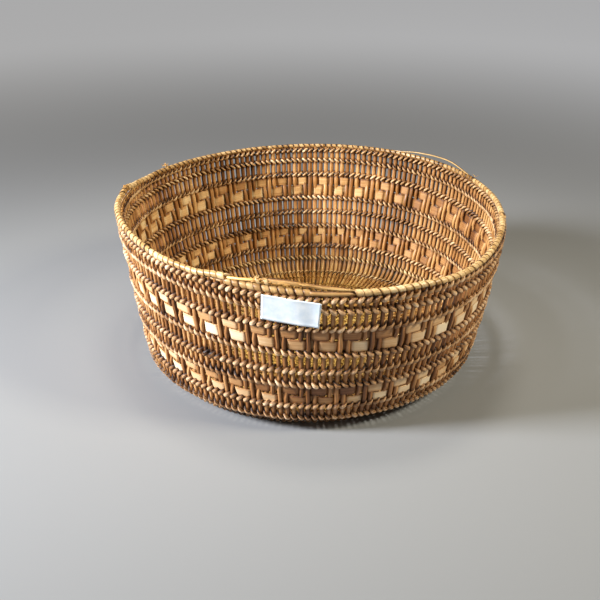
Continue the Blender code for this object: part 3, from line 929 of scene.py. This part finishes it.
def strap_tree():
    """A flat strap wound around the rim's sticks, one turn from each rod to the next."""
    tree, given, end = shape_tree(
        "Wound strap", "First", "Last", "Height", "Reach", "Rise", "Width", "Thickness", "Swells", "Row",
    )
    turns = given["Last"] - given["First"]
    step = point_number(tree) / POINTS_PER_WRAP
    rod = step + given["First"]
    turn = rod * -math.tau
    swing = turn.rule("COSINE")
    lift = turn.rule("SINE")
    wrap = (rod + 0.25).rule("FLOOR")
    lot = wrap + given["Row"] * 307.0
    level = ripple(tree, as_vector(tree, *bearing(rod), 5.0), 3.0, 2.0) * RIM_WANDER + given["Height"]
    size = ripple(tree, as_vector(tree, rod * 0.9, given["Row"], 2.0), 1.0) * 0.16 + 1.0
    middle = as_number(tree, RIM_RADIUS)
    for swell in ROLL_SWELLS:
        hill = rod.hill(swell["rod"], swell["reach"]) * given["Swells"]
        size = size + hill * swell["size"]
        level = level + hill * swell["rise"]
        middle = middle + hill * swell["out"]
    radius = given["Reach"] * swing * size + middle
    height = given["Rise"] * lift * size + level
    place, cosine, sine, spacing = on_basket(tree, rod, radius, height)
    normal = as_vector(tree, cosine * swing, sine * swing, lift)
    line = along_line(tree, open_line(tree, turns * POINTS_PER_WRAP + 1.0), place, normal)
    line = stored(tree, line, "along", step * WRAP_LENGTH)
    line = stored(tree, line, "tone", chance(tree, lot, 0.4, 41) + stretches(rod, STRAP_BACK_SHADE) + 0.5)
    section = round_section(tree, 10, given["Width"], given["Thickness"])
    swell = (size * 0.5 + 0.5) * (chance(tree, lot, 0.04, 42) + 1.0) * spacing
    end_tree(tree, given, end, line, section, swell, True)
    return tree


strap_straw = fibre_material(
    "straw_binding",
    [(36, 20, 6), (98, 66, 32), (156, 118, 70), (188, 154, 106), (208, 180, 137), (226, 204, 167)],
    0.36,
    streaks=4.0,
    shares=(0.4, 0.3, 0.3, 0.55),
)
strap_trees = strap_tree()
sizes = {
    "First": ROLL_FROM, "Last": ROLL_TO, "Height": RIM_HEIGHT, "Reach": STRAP_REACH, "Rise": STRAP_REACH,
    "Width": 0.0064, "Thickness": 0.0016, "Swells": 1.0, "Row": 0.0, "Material": strap_straw,
}
grow("rim_roll", strap_trees, None, sizes, ["rim_binding"])
coil_tan = fibre_material(
    "tan_coil",
    [(40, 20, 10), (92, 60, 30), (136, 98, 57), (166, 128, 80), (188, 152, 102), (210, 178, 130)],
    0.42,
    streaks=4.0,
    shares=(0.4, 0.3, 0.3, 0.62),
)
sizes = {
    "First": COIL_FROM, "Last": COIL_TO, "Height": 0.151, "Reach": STRAP_REACH, "Rise": STRAP_REACH,
    "Width": 0.0061, "Thickness": 0.0021, "Swells": 0.0, "Row": 1.0, "Material": coil_tan,
}
grow("rim_lower_coil", strap_trees, None, sizes, ["rim_binding_short"])
sizes = {
    "First": 124.45, "Last": 126.3, "Height": 0.1573, "Reach": 0.0023, "Rise": 0.0022,
    "Width": 0.0036, "Thickness": 0.0011, "Swells": 0.0, "Row": 2.0, "Material": strap_straw,
}
grow("rim_loose_wrap", strap_trees, None, sizes, [])


def stick_course(stops):
    """A smooth course through stops of rod number, distance from the rods, height, thickness."""
    course = []
    for i in range(len(stops) - 1):
        around = [stops[max(i - 1, 0)], stops[i], stops[i + 1], stops[min(i + 2, len(stops) - 1)]]
        steps = max(3, math.ceil(abs(stops[i + 1][0] - stops[i][0]) * 2))
        for step in range(steps + (i == len(stops) - 2)):
            t = step / steps
            weights = (
                (-t + 2 * t * t - t**3) / 2, (2 - 5 * t * t + 3 * t**3) / 2,
                (t + 4 * t * t - 3 * t**3) / 2, (t**3 - t * t) / 2,
            )
            columns = zip(*around)
            rod, away, height, thick = (sum(w * v for w, v in zip(weights, column)) for column in columns)
            course.append((rod, RIM_RADIUS + away, height, thick, 1.0, 0.0))
    return course


def add_stick(name, stops, material, node_names, lot):
    """One stick of the rim, from stop to stop."""
    sizes = {"Crook": 0.0003, "Unevenness": 0.25, "Material": material}
    grow(name, rod_trees, line_guide(name, [(lot, stick_course(stops))]), sizes, node_names)


stick_gold = fibre_material(
    "golden_sticks",
    [(60, 34, 14), (128, 86, 40), (178, 128, 66), (212, 164, 94), (236, 196, 128), (248, 220, 164)],
    0.36,
    shares=(0.3, 0.5, 0.3, 0.4),
)
add_stick(
    "rim_lower_stick",
    [
        (0.0, 0.0, 0.1502, 0.0022), (60.0, 0.0, 0.1502, 0.0022), (120.0, 0.0, 0.1499, 0.0024),
        (130.0, 0.0, 0.1512, 0.0024), (131.4, 0.0012, 0.1514, 0.0046), (133.9, 0.0012, 0.1513, 0.0044),
        (136.2, 0.0008, 0.1511, 0.0038), (138.0, 0.0, 0.1505, 0.0024), (176.0, 0.0, 0.1502, 0.0022),
    ],
    coil_tan, ["rim_lower_rod"], 501,
)
add_stick(
    "rim_upper_stick",
    [
        (119.0, -0.0004, 0.1526, 0.0022), (120.6, -0.0004, 0.1540, 0.0026), (122.4, 0.0, 0.1555, 0.0027),
        (124.2, -0.0004, 0.1568, 0.0027), (125.4, -0.0008, 0.1574, 0.0024),
    ],
    stick_gold, ["rim_upper_rod"], 502,
)
stick_rough = fibre_material(
    "rough_sprung_stick",
    [(40, 22, 8), (90, 56, 24), (136, 93, 46), (168, 124, 68), (198, 158, 98), (224, 192, 136)],
    0.5,
    streaks=9.0,
    shares=(0.3, 0.9, 0.3, 0.5),
    relief=1.0,
)
add_stick(
    "rim_sprung_stick",
    [
        (124.9, -0.0012, 0.1576, 0.0024), (126.4, -0.0010, 0.1579, 0.0050), (128.8, -0.0010, 0.1580, 0.0050),
        (131.0, -0.0012, 0.1568, 0.0039), (133.4, -0.0006, 0.1556, 0.0036), (135.4, 0.0, 0.1545, 0.0033),
        (136.3, 0.0, 0.1539, 0.0022),
    ],
    stick_rough, [], 503,
)
add_stick(
    "rim_arched_stick",
    [
        (31.0, 0.0, 0.1520, 0.0012), (28.0, 0.0, 0.1532, 0.0016), (25.0, 0.0, 0.1558, 0.0017),
        (21.0, 0.0, 0.1577, 0.0017), (17.6, 0.0, 0.1578, 0.0017), (14.6, 0.0, 0.1549, 0.0016),
        (12.4, 0.0, 0.1526, 0.0012),
    ],
    strap_straw, [], 504,
)
add_stick(
    "rim_left_stub",
    [(88.0, 0.0004, 0.1546, 0.0030), (86.6, 0.0012, 0.1564, 0.0034), (85.2, 0.0026, 0.1586, 0.0031)],
    stick_gold, [], 505,
)
add_stick(
    "rim_right_stub",
    [(172.6, 0.0002, 0.1522, 0.0028), (171.2, 0.0010, 0.1540, 0.0034), (169.9, 0.0016, 0.1556, 0.0030)],
    strap_straw, [], 506,
)


def fray_courses(seed, count, rod, spread, height, length, thick, lift):
    """Short torn fibres that stick out of the rim around a rod."""
    picker = random.Random(seed)
    lines = []
    for number in range(count):
        start = rod + picker.uniform(-spread, spread)
        slide = picker.uniform(-1.0, 1.0) * length / (ROD_PITCH * RIM_RADIUS)
        rise = picker.uniform(-0.25, 0.75) * length * lift
        out = picker.uniform(-0.4, 0.5) * length * lift
        base = height + picker.uniform(-FRAY_SCATTER, FRAY_SCATTER)
        beside = picker.uniform(-0.0012, 0.0016)
        course = []
        for step in range(5):
            t = step / 4
            away = beside + out * t + math.sin(t * math.pi) * length * lift * 0.15
            thin = thick * (1.05 - 0.8 * t)
            course.append((start + slide * t, RIM_RADIUS + away, base + rise * t, thin, 1.0, 0.0))
        lines.append((FRAY_LOT + seed * LOTS_PER_FRAY + number, course))
    return lines


FRAYS = {
    "rim_front_fray": (1, 70, 125.3, 0.8, 0.1572, 0.0040, 0.0010, 1.0),
    "rim_front_fibres": (6, 44, 128.0, 2.3, 0.1580, 0.0090, 0.0009, 0.12),
    "rim_back_left_fray": (2, 16, 73.5, 0.5, 0.1542, 0.0042, 0.0007, 1.0),
    "rim_right_wisps": (3, 5, 11.1, 0.3, 0.1545, 0.0056, 0.0004, 1.0),
    "rim_left_fray": (4, 12, 86.0, 0.6, 0.1566, 0.0044, 0.0008, 1.0),
    "rim_mid_fray": (5, 14, 34.5, 1.0, 0.1496, 0.0040, 0.0005, 1.0),
}
for name, (seed, count, rod, spread, height, length, thick, lift) in FRAYS.items():
    lines = fray_courses(seed, count, rod, spread, height, length, thick, lift)
    sizes = {"Crook": 0.0008, "Unevenness": 0.3, "Material": stick_gold}
    grow(name, rod_trees, line_guide(name, lines), sizes, [])


# The paper label
# A plain slip of white paper, 49 by 24 mm, stuck on the knobs of the top rows, a little askew. It
# bends with the wall, and its corners have begun to curl.
LABEL_WIDTH = 0.0487
LABEL_HEIGHT = 0.0243
LABEL_THICKNESS = 0.0003
LABEL_ANGLE = math.radians(-95.1)
LABEL_LEVEL = 0.1352
LABEL_TILT = math.radians(-4.4)
LABEL_STAND_OFF = 0.0062
LABEL_CURL = 0.0011
LABEL_DENT = 0.0002


def label_mesh():
    """The slip as a thin closed sheet, bent to the wall's curve."""
    columns, lines = 30, 14
    wide = columns + 1
    bm = bmesh.new()
    sheets = []
    for side in (-0.5, 0.5):
        grid = []
        for j in range(lines + 1):
            for i in range(wide):
                across = (i / columns - 0.5) * LABEL_WIDTH
                up = (j / lines - 0.5) * LABEL_HEIGHT
                right = across * math.cos(LABEL_TILT) - up * math.sin(LABEL_TILT)
                high = across * math.sin(LABEL_TILT) + up * math.cos(LABEL_TILT) + LABEL_LEVEL
                curl = abs(across / LABEL_WIDTH * 2) ** 6 + 0.5 * abs(up / LABEL_HEIGHT * 2) ** 8
                dent = LABEL_DENT * math.sin(across * 260 + up * 90)
                stand_off = LABEL_STAND_OFF + LABEL_CURL * curl + dent + side * LABEL_THICKNESS
                angle = LABEL_ANGLE + right / RIM_RADIUS
                bulge = LEAN_BULGE * math.cos(angle + LEAN_TURN)
                bulge += OVAL_BULGE * math.cos(2 * angle + OVAL_TURN)
                bulge += EGG_BULGE * math.cos(3 * angle + EGG_TURN)
                radius = wall_radius(high) + bulge + stand_off
                grid.append(bm.verts.new((radius * math.cos(angle), radius * math.sin(angle), high)))
        sheets.append(grid)
    inner, outer = sheets
    for j in range(lines):
        for i in range(columns):
            k = j * wide + i
            bm.faces.new((outer[k], outer[k + 1], outer[k + wide + 1], outer[k + wide]))
            bm.faces.new((inner[k], inner[k + wide], inner[k + wide + 1], inner[k + 1]))
    edge = list(range(wide))
    edge += [wide * (j + 1) - 1 for j in range(1, lines + 1)]
    edge += [wide * lines + i for i in range(columns - 1, -1, -1)]
    edge += [wide * j for j in range(lines - 1, 0, -1)]
    for a, b in zip(edge, edge[1:] + edge[:1]):
        bm.faces.new((outer[a], inner[a], inner[b], outer[b]))
    bmesh.ops.recalc_face_normals(bm, faces=bm.faces)
    mesh = bpy.data.meshes.new("blank_label")
    bm.to_mesh(mesh)
    bm.free()
    for face in mesh.polygons:
        face.use_smooth = True
    return mesh


paper, tree, shader = new_material("label_paper")
spot = tree.nodes.new("ShaderNodeTexCoord").outputs["Object"]
mottle = ripple(tree, spot, 160.0, 3.0) + 0.5
ramp = colour_ramp(tree, mottle, [(0.25, tint(206, 220, 234)), (0.7, tint(236, 242, 246))])
tree.links.new(ramp.outputs[0], shader.inputs["Base Color"])
shader.inputs["Roughness"].default_value = 0.55
bumped(tree, shader, ripple(tree, spot, 900.0, 4.0) + 0.5, 0.12, 0.0002)
label = bpy.data.objects.new("blank_label", label_mesh())
label.data.materials.append(paper)
bpy.context.scene.collection.objects.link(label)
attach(label, "root")
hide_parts("paper_label")


# The table, the light and the camera
# A plain pale surface that stays pale far behind the basket, and soft studio light from the upper
# left, seen from the photograph's place.
FLOOR_REACH = 30.0
FLOOR_COLOUR = (0.2, 0.204, 0.213, 1.0)
# Colour of the floor's painted glow far from the basket.
FAR_FLOOR_GLOW = (0.36, 0.365, 0.375, 1.0)
NEAR_FLOOR = 0.54
FAR_FLOOR = 1.62
CAMERA_DIP = 27.71
CAMERA_TURN = 0.78

floor_mesh = bpy.data.meshes.new("pale_table")
corners = [(x * FLOOR_REACH, y * FLOOR_REACH, 0.0) for x, y in ((-1, -1), (1, -1), (1, 1), (-1, 1))]
floor_mesh.from_pydata(corners, [], [(0, 1, 2, 3)])
floor = bpy.data.objects.new("pale_table", floor_mesh)
bpy.context.scene.collection.objects.link(floor)
pale, tree, shader = new_material("pale_table")
shader.inputs["Base Color"].default_value = FLOOR_COLOUR
shader.inputs["Roughness"].default_value = 0.85
# Painted light: the floor glows more and more from NEAR_FLOOR to FAR_FLOOR away from its middle, up to
# FAR_FLOOR_GLOW, so that it stays pale where the lamps fall off.
spot = tree.nodes.new("ShaderNodeTexCoord").outputs["Object"]
away = add_node(tree, "ShaderNodeVectorMath", {0: spot}, operation="LENGTH")
far = (Field(tree, away.outputs["Value"]) - NEAR_FLOOR) / (FAR_FLOOR - NEAR_FLOOR)
ramp = colour_ramp(tree, far, [(0.0, (0.0, 0.0, 0.0, 1.0)), (1.0, FAR_FLOOR_GLOW)])
ramp.color_ramp.interpolation = "EASE"
tree.links.new(ramp.outputs[0], shader.inputs["Emission Color"])
shader.inputs["Emission Strength"].default_value = 1.0
floor_mesh.materials.append(pale)

bpy.context.scene.view_settings.view_transform = "Standard"
world = bpy.data.worlds.new("studio")
world.use_nodes = True
world.node_tree.nodes["Background"].inputs[0].default_value = (1.0, 0.82, 0.62, 1.0)
world.node_tree.nodes["Background"].inputs[1].default_value = 0.16
bpy.context.scene.world = world


def add_lamp(name, place, target, size, power, spread, colour):
    """A soft square lamp that points at a target."""
    light = bpy.data.lights.new(name, "AREA")
    light.size = size
    light.energy = power
    light.spread = math.radians(spread)
    light.color = colour
    lamp = bpy.data.objects.new(name, light)
    lamp.location = place
    lamp.rotation_euler = (Vector(target) - Vector(place)).to_track_quat("-Z", "Y").to_euler()
    bpy.context.scene.collection.objects.link(lamp)


add_lamp("key_lamp", (-1.25, -0.42, 0.8), (0, 0, 0.08), 0.3, 16.1, 90, (0.93, 0.96, 1.0))
add_lamp("fill_lamp", (1.1, -0.45, 1.1), (0, 0, 0.08), 0.3, 6.8, 100, (1.0, 0.94, 0.74))
add_lamp("top_lamp", (0.0, 0.1, 1.4), (0, 0, 0.0), 0.3, 0.8, 50, (1.0, 0.94, 0.8))

camera = bpy.data.objects.new("photo_camera", bpy.data.cameras.new("photo_camera"))
camera.data.lens = 54.2
camera.data.sensor_width = 36.0
camera.location = (0.0, -0.8245, 0.481)
camera.rotation_euler = (math.radians(90.0 - CAMERA_DIP), 0.0, math.radians(CAMERA_TURN))
bpy.context.scene.collection.objects.link(camera)
bpy.context.scene.camera = camera
